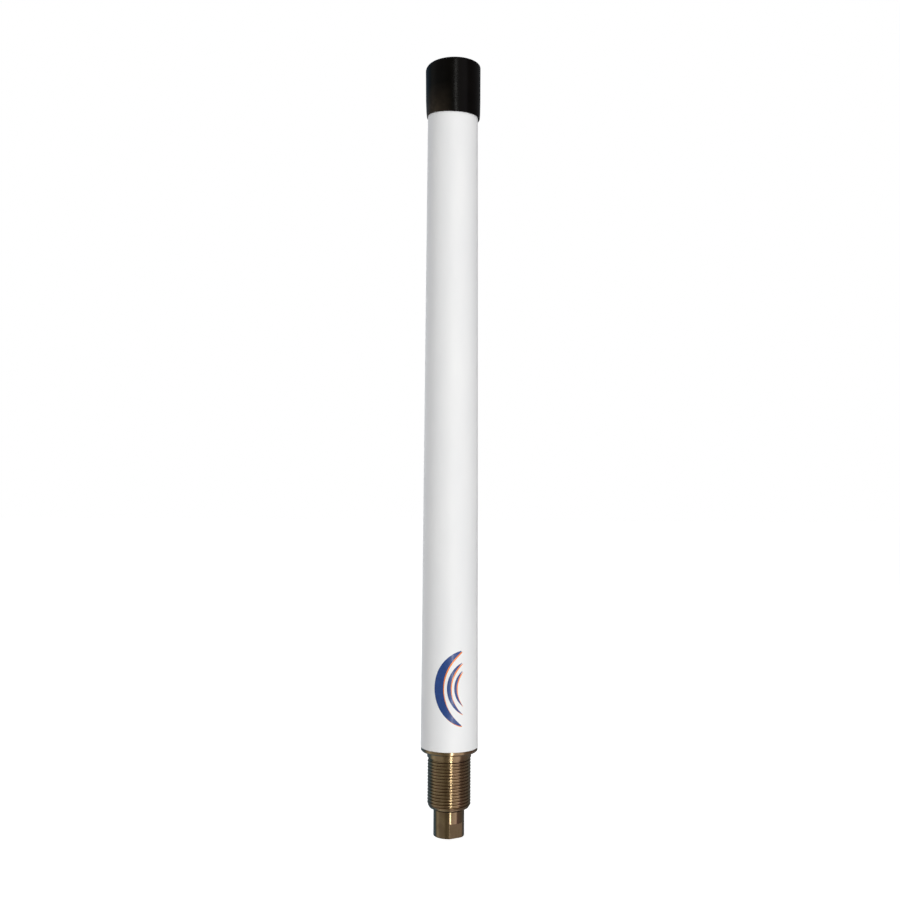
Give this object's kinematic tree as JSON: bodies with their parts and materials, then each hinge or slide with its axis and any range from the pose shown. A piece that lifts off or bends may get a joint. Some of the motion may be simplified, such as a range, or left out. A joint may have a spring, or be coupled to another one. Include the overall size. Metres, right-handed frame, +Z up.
{
  "type": "omnidirectional antenna",
  "caption": "White tapered fibreglass antenna on a brass ferrule with a coarse mounting thread, a coaxial jack recessed in its flatted neck and a black slip-on end cap.",
  "frame": {"origin": "on the antenna's axis, in the seating plane under the ferrule's flange", "axes": "+Z up along the antenna towards the end cap, -Z down through the mounting thread; the spanner flats' normals lie in the XY plane, 60 degrees below +X (towards -Y) and opposite"},
  "size_m": [0.0336, 0.0336, 0.4586],
  "materials": {
    "black_vinyl": "satin",
    "white_gelcoat": "gloss",
    "bronzed_brass": "satin",
    "black_rubber": "matte",
    "nickel_plate": "gloss",
    "gold_plate": "gloss",
    "zinc_steel": "satin",
    "ptfe": "satin",
    "copper": "satin",
    "polyethylene": "satin",
    "tinned_braid": "satin",
    "black_jacket": "satin",
    "ferrite": "matte",
    "black_heatshrink": "satin",
    "bright_brass": "satin",
    "fibreglass_rod": "satin",
    "black_plastic": "satin",
    "white_foam": "matte",
    "grey_plastic": "satin"
  },
  "bodies": {
    "antenna": {"connector_housing": "bronzed_brass", "housing_gasket": "black_rubber", "jack_shell": "nickel_plate", "jack_insulator": "ptfe", "jack_contact": "gold_plate", "jack_washer": "zinc_steel", "jack_nut": "nickel_plate", "crimp_sleeve": "nickel_plate", "ferrule": "bronzed_brass", "spigot_seal_lower": "black_rubber", "spigot_seal_upper": "black_rubber", "coax_conductor": "copper", "coax_dielectric": "polyethylene", "coax_braid": "tinned_braid", "coax_jacket": "black_jacket", "choke_bead_1": "ferrite", "choke_bead_2": "ferrite", "bead_heatshrink": "black_heatshrink", "dipole_sleeve": "bright_brass", "sleeve_end_plate": "bright_brass", "sleeve_spacer": "ptfe", "feed_insulator": "ptfe", "lower_radiator": "bright_brass", "coil_collar_lower": "bright_brass", "coil_collar_upper": "bright_brass", "coil_former": "fibreglass_rod", "phasing_coil": "copper", "upper_radiator": "bright_brass", "radiator_tip": "black_plastic", "foam_spacer_1": "white_foam", "foam_spacer_2": "white_foam", "foam_spacer_3": "white_foam", "foam_spacer_4": "white_foam", "foam_spacer_5": "white_foam", "radome": "white_gelcoat", "top_plug": "grey_plastic"},
    "cap": {"end_cap": "black_vinyl"}
  },
  "joints": [
    {"name": "cap_pull", "type": "slide", "parent": "antenna", "child": "cap", "axis": [0, 0, 1], "range_m": [0, 0.04]}
  ]
}
